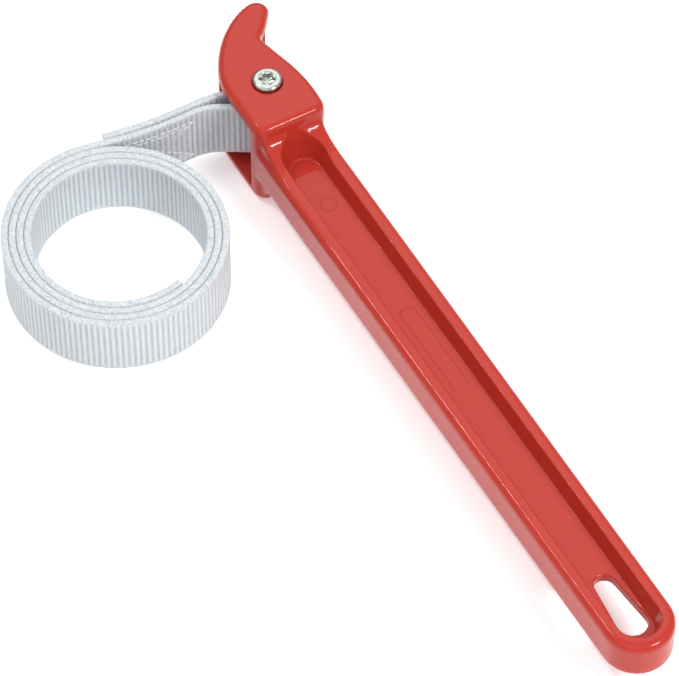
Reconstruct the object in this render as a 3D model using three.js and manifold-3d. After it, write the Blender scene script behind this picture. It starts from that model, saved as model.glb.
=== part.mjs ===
// Oil filter strap wrench, 300 mm class: a die-cast handle whose head holds one looped
// length of 25 mm webbing on a two-piece pivot (a button-head screw in a hex barrel nut).
//
// Millimetres, +Z up. The origin is on the pivot axis at the underside of the head, +X runs
// along the handle to its hanging end, and the webbing leaves the head towards -Y.
import * as THREE from 'three';
import { mergeVertices } from 'three/addons/utils/BufferGeometryUtils.js';
import Module from 'manifold-3d';

const wasm = await Module();
wasm.setup();

// ---- driving dimensions ----
const TOTAL_LENGTH = 300;
const NOSE_REACH = 36.9;            // pivot axis to the tip of the nose
const HEAD_HEIGHT = 39;
const CHEEK = 4.3;                  // wall above and below the strap window
const HEAD_EDGE = 1.6;              // rounding of the head's upper and lower rims
const STEP_X = 20;                  // face where the head steps down to the handle
const STEP_REACH = 17;              // the step's blend runs this far along the handle
const STEP_CORNER = 4.5;            // upright corners where the head meets the handle
const HEEL_WALL = 4.5;              // thickness of the toothed wall between the cheeks
const WINDOW_X = [-11.6, 13.5];     // strap window, open through the head along Y
const FLANK_Y = -14.6;              // flat side of the head that the strap leaves

const HANDLE_THICKNESS = 16.4;
const HANDLE_AXIS_Y = -1.3;         // the handle's centreline passes beside the pivot
const HANDLE_HALF_AT_HEAD = 13.3;
const HANDLE_HALF_AT_END = 12.5;
const HANDLE_EDGE = 2.4;
const WEB = 4;                      // wall left between the upper and lower troughs
const TROUGH_FLOOR_HALF = 6;
const TROUGH_START_X = 24;          // floor of the trough, head end
const TROUGH_DRAFT = 0.29;          // sideways run of the trough wall for each mm of height
const HANG_HOLE_X = [227.3, 253];
const HANG_HOLE_RADIUS = [3.7, 5.3];

const TOOTH_COUNT = 8;
const TOOTH_DEPTH = 0.7;

const GAP = 0.3;                    // clearance kept between neighbouring pieces
const SCREW_HEAD_RADIUS = 5.25;
const SCREW_HEAD_HEIGHT = 3.3;
const SCREW_SINK = 1.5;             // depth of the head's seat in the upper cheek
const SCREW_SHANK_RADIUS = 3;
const SCREW_LENGTH = 25;
const RECESS_RADIUS = [2.15, 2.8];  // six-lobe drive, valley and lobe
const RECESS_DEPTH = 1.9;
const BARREL_RADIUS = 4.5;
const NUT_FLATS = 14;
const NUT_THICKNESS = 1.7;

const WEBBING_WIDTH = 25;
const WEBBING_THICKNESS = 2.4;
const WEBBING_PITCH = WEBBING_THICKNESS + GAP;
const LEAD_HEADING = -100.8;        // direction in which the webbing leaves the pivot
const LOOP_LIFT = 7;                // the loop rides this far above the coil's lower edge
const TAIL_REACH = 59.5;            // pivot axis to the square-cut end of the short tail
const JOIN_REACH = 22;              // pivot axis to where the two layers meet
const COIL_START = 67.4;            // pivot axis to the coil, along the lead
const COIL_RADIUS = 39.75;          // centreline of the outermost turn, along the lead
const COIL_OVAL = 1.03;             // the roll is a little longer across the lead
const COIL_TURNS = 3.58;
const STITCH_REACH = [27, 53];      // box of stitching through both layers
const STITCH_MARGIN = 3.5;
const THREAD_THICKNESS = 0.5;

// ---- helpers ----
const rad = THREE.MathUtils.degToRad;
const MID = HEAD_HEIGHT / 2;
const HANDLE_TOP = MID + HANDLE_THICKNESS / 2;
const HANDLE_END_X = TOTAL_LENGTH - NOSE_REACH;

function toSolid(geometry) {
  const bare = new THREE.BufferGeometry();
  bare.setAttribute('position', geometry.getAttribute('position').clone());
  if (geometry.index) bare.setIndex(geometry.index.clone());
  const merged = mergeVertices(bare, 1e-4);
  return new wasm.Manifold(new wasm.Mesh({
    numProp: 3,
    vertProperties: new Float32Array(merged.getAttribute('position').array),
    triVerts: new Uint32Array(merged.index.array),
  }));
}

function toGeometry(solid) {
  const mesh = solid.getMesh();
  const geometry = new THREE.BufferGeometry();
  geometry.setAttribute('position', new THREE.BufferAttribute(mesh.vertProperties, 3));
  geometry.setIndex(new THREE.BufferAttribute(mesh.triVerts, 1));
  geometry.computeVertexNormals();
  return geometry;
}

// An outline in the XY plane raised between two heights.
function prism(shape, bottom, top, curveSegments = 12) {
  const options = { depth: top - bottom, bevelEnabled: false, curveSegments };
  return new THREE.ExtrudeGeometry(shape, options).translate(0, 0, bottom);
}

// The same with its two rims rounded inside the outline.
function roundedPrism(shape, bottom, top, edge, curveSegments = 12) {
  return new THREE.ExtrudeGeometry(shape, {
    depth: top - bottom - 2 * edge,
    bevelEnabled: true,
    bevelThickness: edge,
    bevelSize: edge,
    bevelOffset: -edge,
    bevelSegments: 3,
    curveSegments,
  }).translate(0, 0, bottom + edge);
}

// An outline in the XZ plane raised along Y.
function prismAlongY(shape, low, high) {
  const options = { depth: high - low, bevelEnabled: false, curveSegments: 8 };
  return new THREE.ExtrudeGeometry(shape, options).rotateX(Math.PI / 2).translate(0, high, 0);
}

function disc(radius, sides, bottom, top) {
  const geometry = new THREE.CylinderGeometry(radius, radius, top - bottom, sides);
  return geometry.rotateX(Math.PI / 2).translate(0, 0, (top + bottom) / 2);
}

function mesh(name, geometry, color, roughness, metalness) {
  const piece = new THREE.Mesh(
    geometry,
    new THREE.MeshStandardMaterial({ color, roughness, metalness }),
  );
  piece.name = name;
  return piece;
}

// ---- handle casting ----
// The toothed underside of the nose is one smooth curve from the head's flank to the tip.
const TOOTHED_CURVE = new THREE.CubicBezierCurve(
  new THREE.Vector2(-4, FLANK_Y),
  new THREE.Vector2(-16, FLANK_Y),
  new THREE.Vector2(-33.8, -1.6),
  new THREE.Vector2(-NOSE_REACH, 12.2),
);

function headOutline() {
  const shape = new THREE.Shape();
  shape.absarc(STEP_X - STEP_CORNER, FLANK_Y + STEP_CORNER, STEP_CORNER,
    0, -Math.PI / 2, true);
  shape.lineTo(TOOTHED_CURVE.v0.x, TOOTHED_CURVE.v0.y);
  shape.bezierCurveTo(
    TOOTHED_CURVE.v1.x, TOOTHED_CURVE.v1.y,
    TOOTHED_CURVE.v2.x, TOOTHED_CURVE.v2.y,
    TOOTHED_CURVE.v3.x, TOOTHED_CURVE.v3.y,
  );
  shape.bezierCurveTo(-NOSE_REACH, 15.8, -34.9, 17.7, -32.1, 17.8);
  shape.quadraticCurveTo(-30.6, 17.8, -29.5, 16.6);
  shape.quadraticCurveTo(-24.8, 13.4, -21.5, 9.6);
  shape.quadraticCurveTo(-20.3, 8.2, -18.4, 8.7);
  shape.lineTo(-7, 11.5);
  shape.bezierCurveTo(-2, 12.9, 4, 13.7, 9, 13.7);
  shape.lineTo(STEP_X - STEP_CORNER, 13.6);
  shape.quadraticCurveTo(STEP_X, 13.6, STEP_X, 13.6 - STEP_CORNER);
  shape.closePath();
  return shape;
}

function handleOutline() {
  const inside = STEP_X - 5;
  const endCentre = HANDLE_END_X - HANDLE_HALF_AT_END;
  const shape = new THREE.Shape();
  shape.moveTo(inside, HANDLE_AXIS_Y - HANDLE_HALF_AT_HEAD);
  shape.lineTo(endCentre, HANDLE_AXIS_Y - HANDLE_HALF_AT_END);
  shape.absarc(endCentre, HANDLE_AXIS_Y, HANDLE_HALF_AT_END, -Math.PI / 2, Math.PI / 2, false);
  shape.lineTo(inside, HANDLE_AXIS_Y + HANDLE_HALF_AT_HEAD);
  shape.closePath();
  return shape;
}

// Blend that carries the head's step down onto the handle's upper face: steep at first,
// then a long gentle ramp.
function stepFillet() {
  const crest = HEAD_HEIGHT - HEAD_EDGE;
  const shape = new THREE.Shape();
  shape.moveTo(STEP_X - 1, HANDLE_TOP - 1);
  shape.lineTo(STEP_X + STEP_REACH, HANDLE_TOP - 1);
  shape.lineTo(STEP_X + STEP_REACH, HANDLE_TOP);
  shape.bezierCurveTo(STEP_X + 3.5, HANDLE_TOP + 2.3, STEP_X, HANDLE_TOP + 4.8, STEP_X, crest);
  shape.lineTo(STEP_X - 1, crest);
  shape.closePath();
  return prismAlongY(shape, FLANK_Y + 3, 10);
}

// Cutter for the upper trough: its walls lean outwards from the floor by the draft.
function troughCutter() {
  const floor = MID + WEB / 2;
  const rise = HEAD_HEIGHT - 5.5 - floor;
  const start = TROUGH_START_X + TROUGH_FLOOR_HALF;
  const end = HANDLE_END_X - HANDLE_HALF_AT_END;
  const shape = new THREE.Shape();
  shape.moveTo(start, HANDLE_AXIS_Y - TROUGH_FLOOR_HALF);
  shape.lineTo(end, HANDLE_AXIS_Y - TROUGH_FLOOR_HALF);
  shape.absarc(end, HANDLE_AXIS_Y, TROUGH_FLOOR_HALF, -Math.PI / 2, Math.PI / 2, false);
  shape.lineTo(start, HANDLE_AXIS_Y + TROUGH_FLOOR_HALF);
  shape.absarc(start, HANDLE_AXIS_Y, TROUGH_FLOOR_HALF, Math.PI / 2, 1.5 * Math.PI, false);
  return new THREE.ExtrudeGeometry(shape, {
    depth: 12,
    bevelEnabled: true,
    bevelThickness: rise,
    bevelSize: rise * TROUGH_DRAFT,
    bevelSegments: 1,
    curveSegments: 12,
  }).translate(0, 0, floor + rise);
}

// The hanging hole is an egg-shaped slot, wider at the handle's end.
function hangHoleOutline() {
  const [nearRadius, farRadius] = HANG_HOLE_RADIUS;
  const near = HANG_HOLE_X[0] + nearRadius;
  const far = HANG_HOLE_X[1] - farRadius;
  const lean = Math.asin((farRadius - nearRadius) / (far - near));
  const shape = new THREE.Shape();
  shape.absarc(near, HANDLE_AXIS_Y, nearRadius, Math.PI / 2 + lean, 1.5 * Math.PI - lean, false);
  shape.absarc(far, HANDLE_AXIS_Y, farRadius, -Math.PI / 2 - lean, Math.PI / 2 + lean, false);
  shape.closePath();
  return shape;
}

function toothGroove(place) {
  const at = TOOTHED_CURVE.getPoint(place);
  const along = TOOTHED_CURVE.getTangent(place);
  const outwards = new THREE.Vector2(-along.y, along.x);
  const corner = (a, b) => new THREE.Vector2(
    at.x + along.x * a + outwards.x * b,
    at.y + along.y * a + outwards.y * b,
  );
  const shape = new THREE.Shape([corner(0.8, 0.4), corner(-0.8, 0.4), corner(0, -TOOTH_DEPTH)]);
  return prism(shape, -1, HEAD_HEIGHT + 1);
}

// Between the cheeks the nose is only its toothed wall: the space behind it opens into
// the strap window and out of the back of the head.
function noseHollow() {
  const steps = 16;
  const points = [];
  for (let step = 0; step <= steps; step += 1) {
    const place = 0.2 + 0.68 * (step / steps);
    const at = TOOTHED_CURVE.getPoint(place);
    const along = TOOTHED_CURVE.getTangent(place);
    points.push(new THREE.Vector2(at.x + along.y * HEEL_WALL, at.y - along.x * HEEL_WALL));
  }
  points.push(new THREE.Vector2(-30.5, 11.5), new THREE.Vector2(-33.5, 15.8));
  points.push(new THREE.Vector2(-33.5, 22), new THREE.Vector2(points[0].x, 22));
  return prism(new THREE.Shape(points), CHEEK, HEAD_HEIGHT - CHEEK);
}

function upsideDown(solid) {
  return solid.mirror([0, 0, 1]).translate([0, 0, HEAD_HEIGHT]);
}

function handleCasting() {
  const fillet = toSolid(stepFillet());
  const trough = toSolid(troughCutter());
  const window = new THREE.BoxGeometry(
    WINDOW_X[1] - WINDOW_X[0], 60, HEAD_HEIGHT - 2 * CHEEK,
  ).translate((WINDOW_X[0] + WINDOW_X[1]) / 2, 0, MID);

  let casting = toSolid(roundedPrism(headOutline(), 0, HEAD_HEIGHT, HEAD_EDGE))
    .add(toSolid(roundedPrism(
      handleOutline(), MID - HANDLE_THICKNESS / 2, HANDLE_TOP, HANDLE_EDGE, 10,
    )))
    .add(fillet)
    .add(upsideDown(fillet))
    .subtract(trough)
    .subtract(upsideDown(trough))
    .subtract(toSolid(window))
    .subtract(toSolid(noseHollow()))
    .subtract(toSolid(prism(hangHoleOutline(), 0, HEAD_HEIGHT, 10)));

  for (let tooth = 0; tooth < TOOTH_COUNT; tooth += 1) {
    casting = casting.subtract(toSolid(toothGroove(0.67 + 0.045 * tooth)));
  }

  const screwHole = disc(SCREW_SHANK_RADIUS + GAP, 32, HEAD_HEIGHT - CHEEK - 1, HEAD_HEIGHT + 1);
  const screwSeat = disc(
    SCREW_HEAD_RADIUS + GAP, 40, HEAD_HEIGHT - SCREW_SINK - GAP, HEAD_HEIGHT + 1,
  );
  const barrelHole = disc(BARREL_RADIUS + GAP, 32, -1, CHEEK + 1);
  const nutPocket = disc(
    (NUT_FLATS / 2 + GAP) / Math.cos(Math.PI / 6), 6, -1, NUT_THICKNESS + GAP,
  );
  for (const cutter of [screwHole, screwSeat, barrelHole, nutPocket]) {
    casting = casting.subtract(toSolid(cutter));
  }
  return mesh('handle_casting', toGeometry(casting), 0xc8281f, 0.28, 0.0);
}

// ---- two-piece pivot ----
function barrelNut() {
  const top = HEAD_HEIGHT - CHEEK - GAP;
  const head = disc(NUT_FLATS / 2 / Math.cos(Math.PI / 6), 6, 0, NUT_THICKNESS);
  const boreFloor = HEAD_HEIGHT - SCREW_LENGTH - 4;
  const nut = toSolid(head)
    .add(toSolid(disc(BARREL_RADIUS, 32, NUT_THICKNESS / 2, top)))
    .subtract(toSolid(disc(SCREW_SHANK_RADIUS + GAP, 32, boreFloor, top + 1)));
  return mesh('barrel_nut', toGeometry(nut), 0xb9bcc0, 0.3, 0.9);
}

function sixLobeOutline() {
  const mean = (RECESS_RADIUS[0] + RECESS_RADIUS[1]) / 2;
  const swing = (RECESS_RADIUS[1] - RECESS_RADIUS[0]) / 2;
  const points = [];
  for (let step = 0; step < 48; step += 1) {
    const angle = (step / 48) * 2 * Math.PI;
    const radius = mean + swing * Math.cos(6 * angle);
    points.push(new THREE.Vector2(radius * Math.cos(angle), radius * Math.sin(angle)));
  }
  return new THREE.Shape(points);
}

function pivotScrew() {
  const seat = HEAD_HEIGHT - SCREW_SINK;
  const crown = seat + SCREW_HEAD_HEIGHT;
  const foot = seat - SCREW_LENGTH;
  const profile = [
    new THREE.Vector2(0, foot),
    new THREE.Vector2(SCREW_SHANK_RADIUS - 0.8, foot),
    new THREE.Vector2(SCREW_SHANK_RADIUS, foot + 0.8),
    new THREE.Vector2(SCREW_SHANK_RADIUS, seat),
    new THREE.Vector2(SCREW_HEAD_RADIUS, seat),
    new THREE.Vector2(SCREW_HEAD_RADIUS, seat + 1.9),
    new THREE.Vector2(SCREW_HEAD_RADIUS - 0.5, seat + 2.6),
    new THREE.Vector2(SCREW_HEAD_RADIUS - 1.3, crown),
    new THREE.Vector2(0, crown),
  ];
  const body = new THREE.LatheGeometry(profile, 40).rotateX(Math.PI / 2);
  const screw = toSolid(body)
    .subtract(toSolid(prism(sixLobeOutline(), crown - RECESS_DEPTH, crown + 1)));
  return mesh('pivot_screw', toGeometry(screw), 0xcfd3d1, 0.22, 1.0);
}

// ---- webbing ----
// The strap is laid out in its own plan axes: s runs from the pivot along the lead and n to
// its left seen from the coil, so that every layer of the lead lies at one value of n.
const LEAD = new THREE.Vector2(Math.cos(rad(LEAD_HEADING)), Math.sin(rad(LEAD_HEADING)));
const SIDE = new THREE.Vector2(LEAD.y, -LEAD.x);
const BACK_LAYER = BARREL_RADIUS + GAP + WEBBING_THICKNESS / 2;
const FRONT_LAYER = BACK_LAYER - WEBBING_PITCH;
const COIL_ACROSS = FRONT_LAYER - COIL_RADIUS * COIL_OVAL;
const COIL_CENTRE = plan(COIL_START, COIL_ACROSS);

function plan(s, n) {
  return new THREE.Vector2(s * LEAD.x + n * SIDE.x, s * LEAD.y + n * SIDE.y);
}

// The loop is carried in the middle of the window and the coil stands on its edge, so the
// lead climbs between them: the rise depends only on the distance from the coil's centre.
function rise(x, y) {
  const clear = Math.hypot(x - COIL_CENTRE.x, y - COIL_CENTRE.y) - COIL_RADIUS * COIL_OVAL;
  return LOOP_LIFT * THREE.MathUtils.smoothstep(clear, 1, 28);
}

// Centreline from the tail, round the barrel, back beside the tail and into the coil.
function webbingCentreline() {
  const line = [plan(TAIL_REACH, BACK_LAYER), plan(TAIL_REACH / 2, BACK_LAYER)];

  const join = new THREE.Vector2(JOIN_REACH, FRONT_LAYER);
  const tangentAngle = join.angle() - Math.acos(BACK_LAYER / join.length());
  const sweep = 1.5 * Math.PI + tangentAngle;
  const loopSteps = 20;
  for (let step = 0; step <= loopSteps; step += 1) {
    const angle = Math.PI / 2 + sweep * (step / loopSteps);
    line.push(plan(BACK_LAYER * Math.cos(angle), BACK_LAYER * Math.sin(angle)));
  }

  const bendSteps = 5;
  const leave = new THREE.Vector2(Math.cos(tangentAngle), Math.sin(tangentAngle))
    .multiplyScalar(BACK_LAYER).sub(join).setLength(4).add(join);
  for (let step = 0; step <= bendSteps; step += 1) {
    const t = step / bendSteps;
    const s = (1 - t) ** 2 * leave.x + 2 * t * (1 - t) * join.x + t ** 2 * (join.x + 4);
    const n = (1 - t) ** 2 * leave.y + (1 - (1 - t) ** 2) * join.y;
    line.push(plan(s, n));
  }

  for (const s of [34, 42, 50, 58]) line.push(plan(s, FRONT_LAYER));

  const coilSteps = Math.round(COIL_TURNS * 40);
  for (let step = 0; step <= coilSteps; step += 1) {
    const turns = COIL_TURNS * (step / coilSteps);
    const radius = COIL_RADIUS - WEBBING_PITCH * turns;
    const angle = 2 * Math.PI * turns;
    line.push(plan(
      COIL_START + radius * Math.sin(angle),
      COIL_ACROSS + COIL_OVAL * radius * Math.cos(angle),
    ));
  }
  return line;
}

function ribbonOutline(line, thickness) {
  const left = [];
  const right = [];
  line.forEach((point, index) => {
    const before = line[Math.max(index - 1, 0)];
    const after = line[Math.min(index + 1, line.length - 1)];
    const across = after.clone().sub(before).normalize();
    const offset = new THREE.Vector2(-across.y, across.x).multiplyScalar(thickness / 2);
    left.push(point.clone().add(offset));
    right.push(point.clone().sub(offset));
  });
  return new THREE.Shape([...left, ...right.reverse()]);
}

function lifted(geometry) {
  const position = geometry.getAttribute('position');
  for (let index = 0; index < position.count; index += 1) {
    const up = rise(position.getX(index), position.getY(index));
    position.setZ(index, position.getZ(index) + up);
  }
  geometry.computeVertexNormals();
  return geometry;
}

function strapWebbing() {
  const outline = ribbonOutline(webbingCentreline(), WEBBING_THICKNESS);
  return mesh('strap_webbing', lifted(prism(outline, 0, WEBBING_WIDTH)), 0xe8edf2, 0.85, 0.0);
}

// A box of stitching crossed by two diagonals, drawn flat and stood against one face.
function stitchRun(name, innerFace) {
  const [start, end] = STITCH_REACH;
  const low = STITCH_MARGIN;
  const high = WEBBING_WIDTH - STITCH_MARGIN;
  const middle = new THREE.Vector2((start + end) / 2, (low + high) / 2);
  const shape = new THREE.Shape([
    new THREE.Vector2(start, low), new THREE.Vector2(end, low),
    new THREE.Vector2(end, high), new THREE.Vector2(start, high),
  ]);
  const corners = [[start, low], [end, low], [end, high], [start, high]];
  corners.forEach(([s, z], index) => {
    const [nextS, nextZ] = corners[(index + 1) % 4];
    const centre = new THREE.Vector2((s + nextS + middle.x) / 3, (z + nextZ + middle.y) / 3);
    const shrink = 0.78;
    const pull = (a, b) => new THREE.Vector2(a, b).lerp(centre, 1 - shrink);
    shape.holes.push(new THREE.Path([
      pull(s, z), pull(middle.x, middle.y), pull(nextS, nextZ),
    ]));
  });
  const flat = new THREE.ExtrudeGeometry(shape, { depth: THREAD_THICKNESS, bevelEnabled: false });
  const position = flat.getAttribute('position');
  for (let index = 0; index < position.count; index += 1) {
    const at = plan(position.getX(index), innerFace + position.getZ(index));
    position.setXYZ(index, at.x, at.y, position.getY(index));
  }
  return mesh(name, lifted(flat), 0xf4f6f8, 0.7, 0.0);
}

const wrench = new THREE.Group();
wrench.add(handleCasting());
wrench.add(barrelNut());
wrench.add(pivotScrew());
wrench.add(strapWebbing());
wrench.add(stitchRun('bobbin_thread', BACK_LAYER + WEBBING_THICKNESS / 2 + GAP));
wrench.add(stitchRun(
  'needle_thread',
  FRONT_LAYER - WEBBING_THICKNESS / 2 - GAP - THREAD_THICKNESS,
));

export default wrench;
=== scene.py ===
import math

import bmesh
import bpy
from mathutils import Matrix, Vector, noise
from mathutils.geometry import interpolate_bezier


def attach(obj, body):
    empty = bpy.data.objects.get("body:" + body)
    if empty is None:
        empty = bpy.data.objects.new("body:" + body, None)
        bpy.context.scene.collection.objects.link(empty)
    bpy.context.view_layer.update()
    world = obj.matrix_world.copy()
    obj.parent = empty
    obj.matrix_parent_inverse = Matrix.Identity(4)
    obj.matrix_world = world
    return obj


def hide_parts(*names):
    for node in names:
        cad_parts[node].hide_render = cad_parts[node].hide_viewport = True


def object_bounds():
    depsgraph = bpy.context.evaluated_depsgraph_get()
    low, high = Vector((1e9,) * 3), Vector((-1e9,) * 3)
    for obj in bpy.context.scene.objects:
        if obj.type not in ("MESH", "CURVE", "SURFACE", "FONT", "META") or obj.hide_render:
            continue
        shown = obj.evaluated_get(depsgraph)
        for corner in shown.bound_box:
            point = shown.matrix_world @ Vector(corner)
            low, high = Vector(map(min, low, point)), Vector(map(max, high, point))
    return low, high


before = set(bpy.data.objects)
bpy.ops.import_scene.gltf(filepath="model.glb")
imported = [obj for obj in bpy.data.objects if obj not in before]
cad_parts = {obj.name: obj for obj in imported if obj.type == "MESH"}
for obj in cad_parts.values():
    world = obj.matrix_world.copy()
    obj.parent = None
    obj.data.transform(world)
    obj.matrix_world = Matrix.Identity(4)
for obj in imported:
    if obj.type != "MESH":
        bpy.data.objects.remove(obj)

scene = bpy.context.scene
cad_box = [list(corner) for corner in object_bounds()]


# ---------------------------------------------------------------------------------------
# Camera: it stands over the handle's hanging end, on the side the webbing leaves, and
# looks steeply down at the whole tool.
view_turn, view_lift, view_distance = math.radians(60.56), math.radians(52.69), 1.4
toward_camera = Vector((
    math.sin(view_turn) * math.cos(view_lift),
    -math.cos(view_turn) * math.cos(view_lift),
    math.sin(view_lift),
))
camera_data = bpy.data.cameras.new("camera")
camera_data.sensor_width = 36
camera_data.sensor_fit = "HORIZONTAL"
camera_data.lens = 216.6
camera_data.clip_end = 20
camera = bpy.data.objects.new("camera", camera_data)
camera.location = Vector((0.09884, -0.02648, 0.0195)) + view_distance * toward_camera
camera.rotation_euler = toward_camera.to_track_quat("Z", "Y").to_euler()
scene.collection.objects.link(camera)
scene.camera = camera


# ---------------------------------------------------------------------------------------
# Floor: a plain pale sheet of studio laminate that the tool lies on, a hair below it so
# that the coil's lower edge rests without sinking in.
def new_material(name, metallic=0.0, **constants):
    material = bpy.data.materials.new(name)
    material.use_nodes = True
    nodes = material.node_tree.nodes
    shader = nodes["Principled BSDF"]
    shader.inputs["Metallic"].default_value = metallic
    for socket, value in constants.items():
        shader.inputs[socket.replace("_", " ")].default_value = value
    return material, shader


def add_node(tree, kind, **inputs):
    """Adds a node, sets its properties and numbers, and links any socket it is given."""
    node = tree.nodes.new(kind)
    for name, value in inputs.items():
        socket = node.inputs[int(name[1:])] if name[0] == "i" and name[1:].isdigit() \
            else node.inputs.get(name.replace("_", " "))
        if socket is None:
            setattr(node, name, value)
        elif isinstance(value, bpy.types.NodeSocket):
            tree.links.new(value, socket)
        else:
            socket.default_value = value
    return node


def maths(tree, operation, *values):
    return add_node(tree, "ShaderNodeMath", operation=operation,
                    **{f"i{i}": v for i, v in enumerate(values)}).outputs[0]


floor_material, floor_shader = new_material("pale_laminate", Roughness=0.6,
                                            Emission_Strength=0.30)
floor_shader.inputs["Base Color"].default_value = (0.93, 0.93, 0.93, 1)
bm = bmesh.new()
bmesh.ops.create_grid(bm, x_segments=1, y_segments=1, size=3)
bmesh.ops.translate(bm, verts=bm.verts, vec=(0, 0, cad_box[0][2] - 0.0002))
floor_mesh = bpy.data.meshes.new("floor")
bm.to_mesh(floor_mesh)
bm.free()
floor_mesh.materials.append(floor_material)
floor = bpy.data.objects.new("floor", floor_mesh)
scene.collection.objects.link(floor)


# ---------------------------------------------------------------------------------------
# Lights: a white surround that fades towards the floor, and four softboxes round the tool.
# The narrow one lies along the handle and draws a thin line on the enamel's rounded edges.
light_aim = Vector((0.1, -0.02, 0.02))


def softbox(name, direction, distance, width, height, power):
    """A rectangular light aimed at the tool, with its width along the handle."""
    data = bpy.data.lights.new(name, "AREA")
    data.shape = "RECTANGLE"
    data.size, data.size_y = width, height
    data.energy = power
    light = bpy.data.objects.new(name, data)
    away = Vector(direction).normalized()
    light.location = light_aim + distance * away
    across = (Vector((1, 0, 0)) - away.x * away).normalized()
    turn = Matrix((across, away.cross(across), away)).transposed()
    light.rotation_euler = turn.to_euler()
    scene.collection.objects.link(light)


world = bpy.data.worlds.new("white_surround")
world.use_nodes = True
sky = world.node_tree
heading = add_node(sky, "ShaderNodeSeparateXYZ",
                   Vector=add_node(sky, "ShaderNodeTexCoord").outputs["Generated"])
fade = add_node(sky, "ShaderNodeMapRange", Value=heading.outputs["Z"], i1=0.0, i2=0.55,
                i3=0.36, i4=0.62)
fade.interpolation_type = "SMOOTHSTEP"
sky.nodes["Background"].inputs["Color"].default_value = (0.97, 0.985, 1, 1)
sky.links.new(fade.outputs["Result"], sky.nodes["Background"].inputs["Strength"])
scene.world = world
scene.view_settings.view_transform = "Standard"
softbox("key_softbox", (0.65, 0.30, 0.70), 1.5, 0.20, 0.40, 11)
softbox("front_softbox", (0.50, -0.50, 0.70), 1.5, 1.2, 1.2, 4.5)
softbox("fill_softbox", (-0.53, 0.30, 0.80), 1.6, 1.1, 1.1, 5)
softbox("edge_softbox", (-0.39, -0.27, 0.82), 1.5, 0.50, 0.07, 5)


# ---------------------------------------------------------------------------------------
# Handle: one die casting in zinc alloy, sprayed with glossy red enamel. The head is a
# tall box with a hooked nose, and steps down to an I-section handle with a trough in
# both faces. Every edge is rounded by the die and softened again by the paint.
MM = 0.001
HEAD_HEIGHT, HEAD_EDGE = 39.0, 2.5
CHEEK = 4.3
STEP_X, STEP_REACH = 20.0, 17
HANDLE_AXIS_Y = -1.3
HANDLE_LOW, HANDLE_HIGH, HANDLE_EDGE = 11.3, 27.7, 2.6
HANDLE_START_X, HANDLE_HALF_AT_HEAD = 12, 13.3
END_X, END_RADIUS = 263.1, 12.5


def bezier(start, lean_out, lean_in, end, steps=20):
    return [Vector(p) for p in interpolate_bezier(start, lean_out, lean_in, end, steps)]


def quadratic(start, lean, end, steps=12):
    start, lean, end = Vector(start), Vector(lean), Vector(end)
    return bezier(start, start.lerp(lean, 2 / 3), end.lerp(lean, 2 / 3), end, steps)


def arc(centre, radius, start, end, steps=24):
    turns = [math.radians(start + (end - start) * i / steps) for i in range(steps + 1)]
    return [Vector((centre[0] + radius * math.cos(t), centre[1] + radius * math.sin(t)))
            for t in turns]


def finish_mesh(name, bm, scale=MM):
    bmesh.ops.remove_doubles(bm, verts=bm.verts, dist=1e-5)
    bmesh.ops.recalc_face_normals(bm, faces=bm.faces)
    bmesh.ops.scale(bm, verts=bm.verts, vec=(scale,) * 3)
    mesh = bpy.data.meshes.new(name)
    bm.to_mesh(mesh)
    bm.free()
    piece = bpy.data.objects.new(name, mesh)
    scene.collection.objects.link(piece)
    return piece


def prism(name, outline, low, high, edge=0.0):
    """An outline raised along Z, with its upper and lower rims rounded."""
    bm = bmesh.new()
    bm.faces.new([bm.verts.new((p.x, p.y, low)) for p in outline])
    bmesh.ops.remove_doubles(bm, verts=bm.verts, dist=1e-4)
    raised = bmesh.ops.extrude_face_region(bm, geom=list(bm.faces), use_keep_orig=True)
    top_verts = [v for v in raised["geom"] if isinstance(v, bmesh.types.BMVert)]
    bmesh.ops.translate(bm, verts=top_verts, vec=(0, 0, high - low))
    bm.normal_update()
    for level in (high, low) if edge else ():
        rim = [e for e in bm.edges if all(abs(v.co.z - level) < 1e-6 for v in e.verts)]
        bmesh.ops.bevel(bm, geom=rim, offset=edge, offset_type="OFFSET", segments=6,
                        profile=0.5, affect="EDGES", material=-1, clamp_overlap=False)
    return finish_mesh(name, bm, 1.0)


def apply_modifiers(body):
    shaped = body.evaluated_get(bpy.context.evaluated_depsgraph_get())
    mesh = bpy.data.meshes.new_from_object(shaped)
    body.modifiers.clear()
    old, body.data = body.data, mesh
    bpy.data.meshes.remove(old)


def cut_or_join(body, tool, operation):
    modifier = body.modifiers.new(operation.lower(), "BOOLEAN")
    modifier.operation = operation
    modifier.solver = "MANIFOLD"
    modifier.object = tool
    apply_modifiers(body)
    bpy.data.objects.remove(tool)


def mirrored(solid):
    """The same solid turned over onto the head's other face."""
    turned_over = Matrix.Scale(-1, 4, (0, 0, 1))
    solid.data.transform(Matrix.Translation((0, 0, HEAD_HEIGHT)) @ turned_over)
    solid.data.flip_normals()
    return solid


def swung_prism(name, outline, low_y, high_y):
    """An outline in the XZ plane raised along Y."""
    piece = prism(name, outline, low_y, high_y)
    turn = Matrix.Rotation(math.radians(90), 4, "X") @ Matrix.Scale(-1, 4, (0, 0, 1))
    piece.data.transform(turn)
    piece.data.flip_normals()
    return piece


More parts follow.
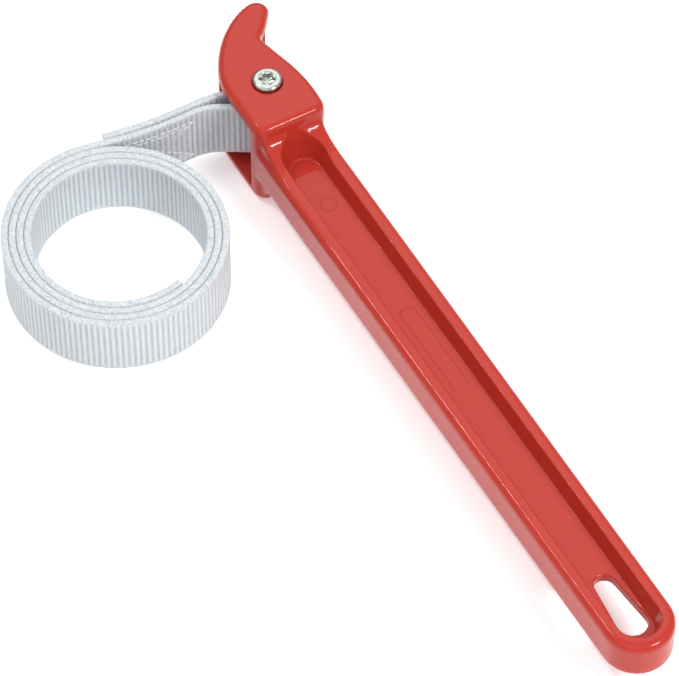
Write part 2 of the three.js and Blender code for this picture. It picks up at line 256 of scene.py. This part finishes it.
FLANK_Y, STEP_CORNER = -14.6, 4.5
toothed_curve = [(-4, FLANK_Y), (-16, FLANK_Y), (-33.8, -1.6), (-36.9, 12.2)]
head_outline = (
    arc((STEP_X - STEP_CORNER, FLANK_Y + STEP_CORNER), STEP_CORNER, 0, -90, 10)
    + bezier(*toothed_curve, steps=48)
    + bezier((-36.9, 12.2), (-36.9, 15.8), (-34.9, 17.7), (-32.1, 17.8), 16)[1:]
    + quadratic((-32.1, 17.8), (-30.6, 17.8), (-29.5, 16.6))[1:]
    + quadratic((-29.5, 16.6), (-24.8, 13.4), (-21.5, 9.6), 16)[1:]
    + quadratic((-21.5, 9.6), (-20.3, 8.2), (-18.4, 8.7))[1:]
    + bezier((-7, 11.5), (-2, 12.9), (4, 13.7), (9, 13.7))
    + quadratic((STEP_X - STEP_CORNER, 13.6), (STEP_X, 13.6), (STEP_X, 13.6 - STEP_CORNER))
)
casting = prism("cast_handle", head_outline, 0, HEAD_HEIGHT, edge=HEAD_EDGE)

end_centre = (END_X - END_RADIUS, HANDLE_AXIS_Y)
handle_outline = (
    [Vector((HANDLE_START_X, HANDLE_AXIS_Y - HANDLE_HALF_AT_HEAD))]
    + arc(end_centre, END_RADIUS, -90, 90, 48)
    + [Vector((HANDLE_START_X, HANDLE_AXIS_Y + HANDLE_HALF_AT_HEAD))]
)
bar = prism("bar", handle_outline, HANDLE_LOW, HANDLE_HIGH, edge=HANDLE_EDGE)
cut_or_join(casting, bar, "UNION")

step_foot = STEP_X + STEP_REACH
fillet_outline = (
    [Vector((STEP_X - 2, HANDLE_HIGH - 2)), Vector((step_foot, HANDLE_HIGH - 2))]
    + bezier((step_foot, HANDLE_HIGH), (STEP_X + 3.5, HANDLE_HIGH + 2.3),
             (STEP_X, HANDLE_HIGH + 4.8), (STEP_X, HEAD_HEIGHT - HEAD_EDGE))
    + [Vector((STEP_X - 2, HEAD_HEIGHT - HEAD_EDGE))]
)
for turn_over in (False, True):
    fillet = swung_prism("step_fillet", fillet_outline, FLANK_Y + 1.6, 10.8)
    cut_or_join(casting, mirrored(fillet) if turn_over else fillet, "UNION")


def reskin(body, voxel, iterations, blend=None):
    """Skins a solid evenly and relaxes it, everywhere or by the blend at each point."""
    skin = body.modifiers.new("skin", "REMESH")
    skin.mode = "VOXEL"
    skin.voxel_size = voxel
    apply_modifiers(body)
    relax = body.modifiers.new("relax", "SMOOTH")
    relax.factor, relax.iterations = 0.5, iterations
    if blend:
        zone = body.vertex_groups.new(name="blend")
        for vert in body.data.vertices:
            weight = blend(vert.co)
            if weight > 0:
                zone.add([vert.index], weight, "REPLACE")
        relax.vertex_group = zone.name
    apply_modifiers(body)


def ramp(value, start, end):
    t = min(max((value - start) / (end - start), 0), 1)
    return t * t * (3 - 2 * t)


def step_blend(point):
    """The foot and corners of the step are relaxed fully, the rest of the casting lightly."""
    return 0.3 + 0.7 * ramp(point.x, 11, 17) * ramp(point.x, 44, 32)


COARSE_VOXEL, FINE_VOXEL = 0.6, 0.3
reskin(casting, COARSE_VOXEL, 30, step_blend)

TROUGH_FLOOR, TROUGH_HALF, TROUGH_DRAFT, TROUGH_RISE = 21.5, 6.0, 0.29, 13.0
trough_near, trough_far = (30.0, HANDLE_AXIS_Y), end_centre


def trough_outline(half):
    return arc(trough_far, half, -90, 90, 48) + arc(trough_near, half, 90, 270, 48)


def trough_cutters():
    """The die's rib that leaves the trough: a drafted foot under a straight shank."""
    level = TROUGH_FLOOR + TROUGH_RISE
    widest = TROUGH_HALF + TROUGH_DRAFT * TROUGH_RISE
    foot = prism("trough_foot", trough_outline(TROUGH_HALF), TROUGH_FLOOR, level)
    for vert in foot.data.vertices:
        if vert.co.z > level - 1:
            anchor = Vector((min(max(vert.co.x, trough_near[0]), trough_far[0]), HANDLE_AXIS_Y))
            outwards = (vert.co.xy - anchor).normalized()
            vert.co.xy = anchor + outwards * widest
    return foot, prism("trough_shank", trough_outline(widest), level - 0.1, HEAD_HEIGHT + 2)


for turn_over in (False, True):
    for cutter in trough_cutters():
        cut_or_join(casting, mirrored(cutter) if turn_over else cutter, "DIFFERENCE")

window_near, window_far = -11.6, 13.5
window_outline = [
    Vector((window_near, CHEEK)), Vector((window_far, CHEEK)),
    Vector((window_far, HEAD_HEIGHT - CHEEK)), Vector((window_near, HEAD_HEIGHT - CHEEK)),
]
cut_or_join(casting, swung_prism("window_cutter", window_outline, -30, 30), "DIFFERENCE")

HEEL_WALL = 4.5
tooth_line = bezier(*toothed_curve, steps=400)
hollow_outline = []
for place in range(80, 353, 16):
    at, along = tooth_line[place], (tooth_line[place + 1] - tooth_line[place]).normalized()
    hollow_outline.append(at + HEEL_WALL * Vector((along.y, -along.x)))
hollow_outline += [Vector(p) for p in ((-30.5, 11.5), (-33.5, 15.8), (-33.5, 22))]
hollow_outline.append(Vector((hollow_outline[0].x, 22)))
hollow = prism("hollow_cutter", hollow_outline, CHEEK, HEAD_HEIGHT - CHEEK)
cut_or_join(casting, hollow, "DIFFERENCE")

slot_start, slot_end = 227.3, 253
near_radius, far_radius = 3.7, 5.3
near_x, far_x = slot_start + near_radius, slot_end - far_radius
lean = math.degrees(math.asin((far_radius - near_radius) / (far_x - near_x)))
slot_outline = (
    arc((near_x, HANDLE_AXIS_Y), near_radius, 90 + lean, 270 - lean)
    + arc((far_x, HANDLE_AXIS_Y), far_radius, -90 - lean, 90 + lean)
)
cut_or_join(casting, prism("slot_cutter", slot_outline, 5, 34), "DIFFERENCE")

tooth_count, tooth_depth, tooth_half, tooth_proud = 8, 1.2, 1.05, 0.4
first_tooth, tooth_pitch = 0.67, 0.045
for tooth in range(tooth_count):
    place = int(399 * (first_tooth + tooth_pitch * tooth))
    at, ahead = tooth_line[place], tooth_line[place + 1]
    along = (ahead - at).normalized()
    inwards = Vector((along.y, -along.x))
    groove = [at + along * tooth_half - inwards * tooth_proud,
              at - along * tooth_half - inwards * tooth_proud,
              at + inwards * tooth_depth]
    cut_or_join(casting, prism("tooth_cutter", groove, -1, HEAD_HEIGHT + 1), "DIFFERENCE")


def round_cutter(radius, low, high, sides=64):
    return prism("drill", arc((0, 0), radius, 0, 360 - 360 / sides, sides - 1), low, high)


shank_hole, screw_seat, barrel_hole, pocket_flat = 3.3, 5.35, 4.8, 7.3
seat_depth, pocket_depth = 1.8, 2.0
for cutter in (
    round_cutter(shank_hole, HEAD_HEIGHT - CHEEK - 1, HEAD_HEIGHT + 1),
    round_cutter(screw_seat, HEAD_HEIGHT - seat_depth, HEAD_HEIGHT + 1),
    round_cutter(barrel_hole, -1, CHEEK + 1),
    round_cutter(pocket_flat / math.cos(math.pi / 6), -1, pocket_depth, sides=6),
):
    cut_or_join(casting, cutter, "DIFFERENCE")

# The paint's thickness rounds every edge alike, so the whole shell is skinned evenly,
# relaxed, and then thinned where it is flat, keeping the shading of the full skin.
reskin(casting, FINE_VOXEL, 9)
for polygon in casting.data.polygons:
    polygon.use_smooth = True
full_skin = bpy.data.objects.new("full_skin", casting.data.copy())
scene.collection.objects.link(full_skin)
most_triangles = 180000
thin = casting.modifiers.new("thin", "DECIMATE")
thin.ratio = min(1.0, most_triangles / (2 * len(casting.data.polygons)))
shade = casting.modifiers.new("shade", "DATA_TRANSFER")
shade.object = full_skin
shade.use_loop_data = True
shade.data_types_loops = {"CUSTOM_NORMAL"}
shade.loop_mapping = "POLYINTERP_NEAREST"
apply_modifiers(casting)
bpy.data.objects.remove(full_skin)
casting.data.transform(Matrix.Scale(MM, 4))


def add_group(name, inputs, outputs):
    """An empty node group with the named number sockets, ready for its nodes."""
    group = bpy.data.node_groups.new(name, "ShaderNodeTree")
    for socket, kind in inputs:
        group.interface.new_socket(socket, in_out="INPUT", socket_type=kind)
    for socket in outputs:
        group.interface.new_socket(socket, in_out="OUTPUT", socket_type="NodeSocketFloat")
    return group, group.nodes.new("NodeGroupInput"), group.nodes.new("NodeGroupOutput")


# Handling leaves a faint uneven haze on every hard surface: a cloudy mask, and the
# roughness that lies between the clean and the hazy value.
haze, haze_in, haze_out = add_group(
    "handling_haze",
    (("Place", "NodeSocketVector"), ("Scale", "NodeSocketFloat"),
     ("Clean", "NodeSocketFloat"), ("Hazy", "NodeSocketFloat")),
    ("Mask", "Roughness"))
cloud = add_node(haze, "ShaderNodeTexNoise", Vector=haze_in.outputs["Place"],
                 Scale=haze_in.outputs["Scale"], Detail=4.0)
hazed = add_node(haze, "ShaderNodeMapRange", Value=cloud.outputs["Fac"], i1=0.25, i2=0.75,
                 i3=haze_in.outputs["Clean"], i4=haze_in.outputs["Hazy"])
haze.links.new(cloud.outputs["Fac"], haze_out.inputs["Mask"])
haze.links.new(hazed.outputs["Result"], haze_out.inputs["Roughness"])

enamel, shader = new_material("red_enamel", Coat_Weight=0.55, Coat_Roughness=0.035,
                              Coat_IOR=1.4, Specular_IOR_Level=0.08)
tree = enamel.node_tree
place = add_node(tree, "ShaderNodeTexCoord").outputs["Object"]
worn = add_node(tree, "ShaderNodeGroup", node_tree=haze, Place=place, Scale=60.0,
                Clean=0.24, Hazy=0.40)
tone = add_node(tree, "ShaderNodeMix", data_type="RGBA", i0=worn.outputs["Mask"],
                i6=(0.430, 0.029, 0.018, 1), i7=(0.470, 0.036, 0.022, 1))
tree.links.new(tone.outputs[2], shader.inputs["Base Color"])
tree.links.new(worn.outputs["Roughness"], shader.inputs["Roughness"])
peel = add_node(tree, "ShaderNodeTexNoise", Vector=place, Scale=900.0, Detail=2.0)
peel_bump = add_node(tree, "ShaderNodeBump", Height=peel.outputs["Fac"], Strength=0.06,
                     Distance=0.0002)

# Two marks lie on the upper trough's floor: the ring left by the die's ejector pin, and
# the outline of a plain pad.
ring_centre, ring_radius, ring_soft = (0.047, -0.0015, 0), 0.0030, 0.00035
pad_centre, pad_half, pad_round = (0.120, -0.0013, 0), (0.018, 0.0012, 0), (0.0014, 0.0019)
mid_height = HEAD_HEIGHT / 2 * MM
above = maths(tree, "GREATER_THAN",
              add_node(tree, "ShaderNodeSeparateXYZ", Vector=place).outputs["Z"], mid_height)
flat = add_node(tree, "ShaderNodeVectorMath", operation="MULTIPLY", i0=place, i1=(1, 1, 0))
from_pin = add_node(tree, "ShaderNodeVectorMath", operation="DISTANCE",
                    i0=flat.outputs["Vector"], i1=ring_centre)
off_ring = maths(tree, "SUBTRACT", from_pin.outputs["Value"], ring_radius)
ring = add_node(tree, "ShaderNodeMapRange", Value=maths(tree, "ABSOLUTE", off_ring),
                i1=0.0, i2=ring_soft, i3=-0.7, i4=0.0)
from_pad = flat.outputs["Vector"]
for operation, amount in (("SUBTRACT", pad_centre), ("ABSOLUTE", (0, 0, 0)),
                          ("SUBTRACT", pad_half), ("MAXIMUM", (0, 0, 0))):
    from_pad = add_node(tree, "ShaderNodeVectorMath", operation=operation,
                        i0=from_pad, i1=amount).outputs["Vector"]
off_pad = add_node(tree, "ShaderNodeVectorMath", operation="LENGTH", i0=from_pad)
pad = add_node(tree, "ShaderNodeMapRange", Value=off_pad.outputs["Value"],
               i1=pad_round[0], i2=pad_round[1], i3=1.0, i4=0.0)
marks = maths(tree, "MULTIPLY", above,
              maths(tree, "ADD", ring.outputs["Result"], pad.outputs["Result"]))
mark_bump = add_node(tree, "ShaderNodeBump", Height=marks, Strength=1.0, Distance=0.0003,
                     Normal=peel_bump.outputs["Normal"])
tree.links.new(mark_bump.outputs["Normal"], shader.inputs["Normal"])
casting.data.materials.clear()
casting.data.materials.append(enamel)
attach(casting, "wrench")
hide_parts("handle_casting")


# ---------------------------------------------------------------------------------------
# Pivot screw: a bright zinc-plated M6 button-head screw with a six-lobe recess, driven
# down into the barrel nut until its head sits in the shallow seat on top of the head.
RING_SIDES = 96


def turned(name, rings):
    """A closed shape swept up through rings, each a height and a radius for every angle."""
    bm = bmesh.new()
    made = bmesh.ops.create_circle(bm, cap_ends=True, segments=RING_SIDES, radius=1)
    loop = list(bm.edges)
    verts = made["verts"]
    for index, (height, radius) in enumerate(rings):
        if index:
            grown = bmesh.ops.extrude_edge_only(bm, edges=loop)["geom"]
            loop = [e for e in grown if isinstance(e, bmesh.types.BMEdge)]
            verts = [v for v in grown if isinstance(v, bmesh.types.BMVert)]
        for vert in verts:
            angle = math.atan2(vert.co.y, vert.co.x)
            reach = radius(angle) if callable(radius) else radius
            vert.co = Vector((reach * math.cos(angle), reach * math.sin(angle), height))
    bmesh.ops.edgeloop_fill(bm, edges=loop)
    return finish_mesh(name, bm)


def six_lobe(grow=1.0, mean=2.55, swing=0.33):
    return lambda angle: grow * (mean + swing * math.cos(6 * angle))


SCREW_SEAT, SCREW_LENGTH, SHANK_RADIUS = HEAD_HEIGHT - 1.5, 25, 3.0
crown = SCREW_SEAT + 3.3
tip = SCREW_SEAT - SCREW_LENGTH
shoulder_height, shoulder_reach = 2.3, 4.25
screw_rings = [(tip, SHANK_RADIUS - 0.8), (tip + 0.8, SHANK_RADIUS),
               (SCREW_SEAT - 0.3, SHANK_RADIUS), (SCREW_SEAT, SHANK_RADIUS + 0.1),
               (SCREW_SEAT, 4.9), (SCREW_SEAT + 0.15, 5.2)]
screw_rings += [(SCREW_SEAT + shoulder_height + math.sin(math.radians(t)),
                 shoulder_reach + math.cos(math.radians(t))) for t in range(0, 91, 9)]
screw_rings += [(crown, 3.25), (crown - 0.25, 3.1), (crown - 0.3, six_lobe(1.05)),
                (crown - 0.5, six_lobe()), (crown - 1.9, six_lobe(0.97)),
                (crown - 2.0, six_lobe(0.85)), (crown - 2.5, 0.5)]
screw = turned("button_screw", screw_rings)
for polygon in screw.data.polygons:
    polygon.use_smooth = True
screw.data.set_sharp_from_angle(angle=math.radians(35))

zinc, shader = new_material("bright_zinc", metallic=1.0)
tree = zinc.node_tree
place = add_node(tree, "ShaderNodeTexCoord").outputs["Object"]
worn = add_node(tree, "ShaderNodeGroup", node_tree=haze, Place=place, Scale=500.0,
                Clean=0.10, Hazy=0.26)
tone = add_node(tree, "ShaderNodeMix", data_type="RGBA", i0=worn.outputs["Mask"],
                i6=(0.36, 0.38, 0.36, 1), i7=(0.55, 0.57, 0.54, 1))
tree.links.new(tone.outputs[2], shader.inputs["Base Color"])
tree.links.new(worn.outputs["Roughness"], shader.inputs["Roughness"])
rings = add_node(tree, "ShaderNodeTexWave", wave_type="RINGS", rings_direction="Z",
                 Vector=place, Scale=1400.0, Distortion=0.6, Detail=2.0)
bump = add_node(tree, "ShaderNodeBump", Height=rings.outputs["Fac"], Strength=0.25,
                Distance=0.00004)
tree.links.new(bump.outputs["Normal"], shader.inputs["Normal"])
screw.data.materials.append(zinc)
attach(screw, "wrench")
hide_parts("pivot_screw")


# ---------------------------------------------------------------------------------------
# Barrel nut: a turned steel sleeve with a closed hexagonal head. The barrel fills the
# head's window from cheek to cheek, and the webbing's loop turns on it.
def hexagon(flats, corner=1.0):
    """The radius of a hexagon at each angle, with its corners trimmed by a share."""
    def reach(angle):
        sixth = math.pi / 3
        flat = flats / 2 / math.cos((angle + sixth / 2) % sixth - sixth / 2)
        return min(flat, corner * flats / 2 / math.cos(sixth / 2))
    return reach


BARREL_RADIUS, BORE_RADIUS, NUT_THICKNESS = 4.5, 3.3, 1.7
barrel_top = HEAD_HEIGHT - CHEEK - 0.3
nut_rings = [(0, hexagon(12.6)), (0.35, hexagon(13.8, 0.97)), (1.35, hexagon(14, 0.99)),
             (NUT_THICKNESS, hexagon(13.6, 0.97)), (NUT_THICKNESS, BARREL_RADIUS + 0.3),
             (NUT_THICKNESS + 0.2, BARREL_RADIUS), (barrel_top - 0.4, BARREL_RADIUS),
             (barrel_top, BARREL_RADIUS - 0.4), (barrel_top, BORE_RADIUS + 0.2),
             (barrel_top - 0.3, BORE_RADIUS), (10.2, BORE_RADIUS), (8.6, 0.3)]
nut = turned("barrel_sleeve_nut", nut_rings)
for polygon in nut.data.polygons:
    polygon.use_smooth = True
nut.data.set_sharp_from_angle(angle=math.radians(30))

satin, shader = new_material("satin_zinc", metallic=1.0)
tree = satin.node_tree
place = add_node(tree, "ShaderNodeTexCoord").outputs["Object"]
spangle = add_node(tree, "ShaderNodeTexVoronoi", Vector=place, Scale=900.0)
tone = add_node(tree, "ShaderNodeMix", data_type="RGBA", i0=spangle.outputs["Distance"],
                i6=(0.52, 0.53, 0.54, 1), i7=(0.66, 0.67, 0.68, 1))
tree.links.new(tone.outputs[2], shader.inputs["Base Color"])
worn = add_node(tree, "ShaderNodeGroup", node_tree=haze, Place=place, Scale=300.0,
                Clean=0.30, Hazy=0.45)
tree.links.new(worn.outputs["Roughness"], shader.inputs["Roughness"])
facing = add_node(tree, "ShaderNodeTexWave", wave_type="RINGS", rings_direction="Z",
                  Vector=place, Scale=900.0, Distortion=0.4)
bump = add_node(tree, "ShaderNodeBump", Height=facing.outputs["Fac"], Strength=0.3,
                Distance=0.00006)
tree.links.new(bump.outputs["Normal"], shader.inputs["Normal"])
nut.data.materials.append(satin)
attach(nut, "wrench")
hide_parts("barrel_nut")


# ---------------------------------------------------------------------------------------
# Webbing: one length of ribbed white polyester webbing, 25 mm wide. It is folded round
# the barrel, its short tail is sewn back on itself, and the long end is rolled up and
# stands on its edge. The ribs are the weft's floats, about 2 mm apart, on both faces.
WEBBING_WIDTH, WEBBING_PITCH = 25.0, 2.7
TAIL_REACH, JOIN_REACH, LOOP_LIFT = 59.5, 22, 7.0
lead_heading = math.radians(-100.8)
lead = Vector((math.cos(lead_heading), math.sin(lead_heading)))
side = Vector((lead.y, -lead.x))
BACK_LAYER, FRONT_LAYER = 6.0, 3.3
COIL_START, COIL_RADIUS, COIL_TURNS, COIL_OVAL = 67.4, 39.75, 3.58, 1.03
COIL_ACROSS = FRONT_LAYER - COIL_RADIUS * COIL_OVAL
COIL_CENTRE = COIL_START * lead + COIL_ACROSS * side


def plan(s, n):
    return s * lead + n * side


def lifted(point):
    """The lead climbs from the standing coil to the loop, in the middle of the window."""
    clear = (point - COIL_CENTRE).length - COIL_RADIUS * COIL_OVAL
    return LOOP_LIFT * ramp(clear, 1, 28)


def webbing_centreline():
    """From the tail, round the barrel, back beside the tail and into the coil."""
    line = [plan(s, BACK_LAYER) for s in (TAIL_REACH, 45, 30, 15, 5)]
    join = Vector((JOIN_REACH, FRONT_LAYER))
    leave = math.atan2(join.y, join.x) - math.acos(BACK_LAYER / join.length)
    sweep = 1.5 * math.pi + leave
    loop_steps, bend = 60, 5
    for step in range(loop_steps + 1):
        angle = math.pi / 2 + sweep * step / loop_steps
        line.append(plan(BACK_LAYER * math.cos(angle), BACK_LAYER * math.sin(angle)))
    tangent = BACK_LAYER * Vector((math.cos(leave), math.sin(leave)))
    before = join + (tangent - join).normalized() * bend
    after = join + Vector((bend, 0))
    for point in quadratic(before, join, after, 16):
        line.append(plan(point.x, point.y))
    line += [plan(s, FRONT_LAYER) for s in (34, 42, 50, 58)]
    steps = int(COIL_TURNS * 120)
    for step in range(steps + 1):
        turns = COIL_TURNS * step / steps
        radius = COIL_RADIUS - WEBBING_PITCH * turns
        angle = 2 * math.pi * turns
        line.append(plan(COIL_START + radius * math.sin(angle),
                         COIL_ACROSS + COIL_OVAL * radius * math.cos(angle)))
    return line


def walk(line, spacing):
    """Even steps along a line: how far along, the point and the heading of each."""
    steps = []
    travelled, target = 0.0, 0.0
    for start, end in zip(line, line[1:]):
        length = (end - start).length
        while target <= travelled + length:
            steps.append((target, start.lerp(end, (target - travelled) / length)))
            target += spacing
        travelled += length
    rows = []
    for i, (along, point) in enumerate(steps):
        ahead = steps[min(i + 2, len(steps) - 1)][1] - steps[max(i - 2, 0)][1]
        rows.append((along, point, ahead.normalized()))
    return rows


RIB, RIB_RELIEF, CORE_HALF = 2.0, 0.14, 1.06
FRAY, SWAY, WOVEN_HALF = 0.14, 0.45, 12.25
half_section = [(-1, 0.0), (-0.998, 0.6), (-0.985, 0.88), (-0.955, 1.0)]
half_section += [(-0.8 + 0.2 * i, 1.0) for i in range(9)]
half_section += [(-x, y) for x, y in reversed(half_section[:4])]
section = half_section + [(x, -y) for x, y in reversed(half_section[1:-1])]


def webbing_strap():
    """The section carried along the centreline, ribbed, with packed selvages."""
    rows = walk(webbing_centreline(), RIB / 6)
    around = len(section)
    bm = bmesh.new()
    bmesh.ops.create_grid(bm, x_segments=len(rows) - 1, y_segments=around, size=1,
                          calc_uvs=True)
    weave = bm.loops.layers.uv.verify()
    cells = {}
    for vert in bm.verts:
        row = round((vert.co.x + 1) / 2 * (len(rows) - 1))
        cells[vert] = (row, round((vert.co.y + 1) / 2 * around))
    for face in bm.faces:
        for loop in face.loops:
            row, turn = cells[loop.vert]
            across = section[turn % around][0]
            loop[weave].uv = (rows[row][0] / RIB, across * WEBBING_WIDTH / 2 / RIB)
    for vert, (row, turn) in cells.items():
        along, point, heading = rows[row]
        across, thick = section[turn % around]
        rib = abs(math.sin(math.pi * along / RIB)) ** 0.6
        packed = 1.7 - 1.0 * ramp(lifted(point), 0, 1.5)
        rib += (packed - rib) * ramp(abs(across), 0.82, 0.95)
        fray = FRAY * noise.noise(Vector((along * 0.9, across * 3, 0)))
        sway = SWAY * (0.5 + 0.5 * noise.noise(Vector((along * 0.035, 0, 7))))
        half = CORE_HALF + RIB_RELIEF * rib
        offset = Vector((-heading.y, heading.x)) * thick * half
        height = WEBBING_WIDTH / 2 + (WOVEN_HALF + fray) * across + sway + lifted(point)
        vert.co = Vector((*(point + offset), height))
    bmesh.ops.remove_doubles(bm, verts=bm.verts, dist=1e-4)
    ends = [e for e in bm.edges if e.is_boundary]
    bmesh.ops.edgeloop_fill(bm, edges=ends)
    return finish_mesh("webbing_strap", bm), rows[-1][0]


strap, strap_length = webbing_strap()
for polygon in strap.data.polygons:
    polygon.use_smooth = True

webbing, shader = new_material("white_polyester_webbing", Roughness=0.8,
                               Sheen_Weight=0.25, Sheen_Roughness=0.4)
tree = webbing.node_tree
uv = add_node(tree, "ShaderNodeUVMap").outputs["UV"]
split = add_node(tree, "ShaderNodeSeparateXYZ", Vector=uv)
u, v = split.outputs["X"], split.outputs["Y"]
zigzag = maths(tree, "PINGPONG", maths(tree, "MULTIPLY", v, 3.3), 1.0)
shifted = maths(tree, "MULTIPLY_ADD", zigzag, 0.46, maths(tree, "SUBTRACT", u, 0.23))
off_centre = maths(tree, "ABSOLUTE", maths(tree, "SUBTRACT", maths(tree, "FRACT", shifted), 0.5))
selvage = add_node(tree, "ShaderNodeMapRange", Value=maths(tree, "ABSOLUTE", v), i1=5.4, i2=6.0)
plain = maths(tree, "SUBTRACT", 1.0, selvage.outputs["Result"])
groove = add_node(tree, "ShaderNodeMapRange", Value=off_centre, i1=0.27, i2=0.5)
groove.interpolation_type = "SMOOTHSTEP"
groove = maths(tree, "MULTIPLY", groove.outputs["Result"], plain)
twist = maths(tree, "MULTIPLY_ADD", off_centre, 1.2, maths(tree, "MULTIPLY", v, 1.65))
yarn = maths(tree, "ABSOLUTE", maths(tree, "SINE", maths(tree, "MULTIPLY", twist, math.pi)))
yarn = maths(tree, "MULTIPLY", maths(tree, "POWER", yarn, 0.6), plain)
place = add_node(tree, "ShaderNodeTexCoord").outputs["Object"]
speckle = add_node(tree, "ShaderNodeTexNoise", Vector=place, Scale=1300.0, Detail=3.0,
                   Roughness=0.6)
fibre = maths(tree, "SUBTRACT", speckle.outputs["Fac"], 0.5)
height = maths(tree, "MULTIPLY_ADD", groove, -0.9, maths(tree, "MULTIPLY", yarn, 0.7))
height = maths(tree, "MULTIPLY_ADD", fibre, 3.0, height)
bump = add_node(tree, "ShaderNodeBump", Height=height, Strength=0.8, Distance=0.00018)
tree.links.new(bump.outputs["Normal"], shader.inputs["Normal"])
# The webbing's colour is painted darker and bluer in the grooves between the ribs as painted
# shade, and lighter along the yarns' crowns as a painted highlight; the fibre speckle is a
# random tone of its own.
pale = maths(tree, "MULTIPLY_ADD", groove, -1.05, 0.82)
pale = maths(tree, "MULTIPLY_ADD", fibre, 1.8, pale)
pale = maths(tree, "MULTIPLY_ADD", yarn, 0.30, pale)
tone = add_node(tree, "ShaderNodeMix", data_type="RGBA", i0=pale,
                i6=(0.24, 0.26, 0.33, 1), i7=(0.67, 0.71, 0.725, 1))
tree.links.new(tone.outputs[2], shader.inputs["Base Color"])
strap.data.materials.append(webbing)
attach(strap, "strap")
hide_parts("strap_webbing")


# ---------------------------------------------------------------------------------------
# Stitching: polyester thread, sewn as two boxes and two diagonals through both layers of
# the folded tail. The needle thread lies on the coil's side and the bobbin thread on the
# tail's side, each a row of short bights that sink into the webbing at both ends.
STITCH_PITCH, STITCH_GAP, BOX_STEP = 2.6, 0.08, 1.6
BIGHT_RINGS, THREAD_SIDES, THREAD_RADIUS = 6, 8, 0.16


def stitch_lines():
    start, end, low, high = 27.0, 53.0, 3.5, 21.5
    corners = [(start, low), (end, low), (end, high), (start, high)]
    lines = list(zip(corners, corners[1:] + corners[:1]))
    lines += [(corners[0], corners[2]), (corners[1], corners[3])]
    inset = [(start + BOX_STEP, low + BOX_STEP), (end - BOX_STEP, low + BOX_STEP),
             (end - BOX_STEP, high - BOX_STEP), (start + BOX_STEP, high - BOX_STEP)]
    return lines + list(zip(inset, inset[1:] + inset[:1]))


def bight(bm, first, last, face_n, outwards):
    """One stitch between two holes: it swells and bows out of the webbing's face."""
    across = (last - first).orthogonal().normalized()
    made = bmesh.ops.create_circle(bm, cap_ends=True, segments=THREAD_SIDES, radius=1)
    verts = made["verts"]
    loop = list({e for v in verts for e in v.link_edges})
    for ring in range(BIGHT_RINGS + 1):
        if ring:
            grown = bmesh.ops.extrude_edge_only(bm, edges=loop)["geom"]
            loop = [e for e in grown if isinstance(e, bmesh.types.BMEdge)]
            verts = [v for v in grown if isinstance(v, bmesh.types.BMVert)]
        bow = math.sin(math.pi * ring / BIGHT_RINGS)
        centre = first.lerp(last, ring / BIGHT_RINGS)
        thick = THREAD_RADIUS + 0.12 * bow
        for j, vert in enumerate(verts):
            angle = 2 * math.pi * j / len(verts)
            flat = centre + across * thick * math.cos(angle)
            n = face_n + outwards * (0.28 * bow - 0.12 + thick * math.sin(angle))
            at = plan(flat.x, n)
            vert.co = Vector((at.x, at.y, flat.y + lifted(at)))
    bmesh.ops.edgeloop_fill(bm, edges=loop)


def stitching(name, face_n, outwards):
    bm = bmesh.new()
    for start, end in stitch_lines():
        start, end = Vector(start), Vector(end)
        count = round((end - start).length / STITCH_PITCH)
        for i in range(count):
            first = start.lerp(end, (i + STITCH_GAP) / count)
            last = start.lerp(end, (i + 1 - STITCH_GAP) / count)
            bight(bm, first, last, face_n, outwards)
    return finish_mesh(name, bm)


thread, shader = new_material("stitch_thread", Roughness=0.6, Sheen_Weight=0.2)
tree = thread.node_tree
place = add_node(tree, "ShaderNodeTexCoord").outputs["Object"]
ply = add_node(tree, "ShaderNodeTexWave", bands_direction="DIAGONAL", Vector=place,
               Scale=2400.0, Distortion=0.5)
tone = add_node(tree, "ShaderNodeMix", data_type="RGBA", i0=ply.outputs["Fac"],
                i6=(0.72, 0.74, 0.78, 1), i7=(0.90, 0.91, 0.93, 1))
tree.links.new(tone.outputs[2], shader.inputs["Base Color"])
bump = add_node(tree, "ShaderNodeBump", Height=ply.outputs["Fac"], Strength=0.5,
                Distance=0.0001)
tree.links.new(bump.outputs["Normal"], shader.inputs["Normal"])
needle = stitching("needle_stitches", FRONT_LAYER - CORE_HALF - RIB_RELIEF, -1)
bobbin = stitching("bobbin_stitches", BACK_LAYER + CORE_HALF + RIB_RELIEF, 1)
for piece, node, slot in ((needle, "needle_thread", "needle_thread_yarn"),
                          (bobbin, "bobbin_thread", "bobbin_thread_yarn")):
    for polygon in piece.data.polygons:
        polygon.use_smooth = True
    piece.data.materials.append(thread)
    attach(piece, "strap")
    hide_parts(node)
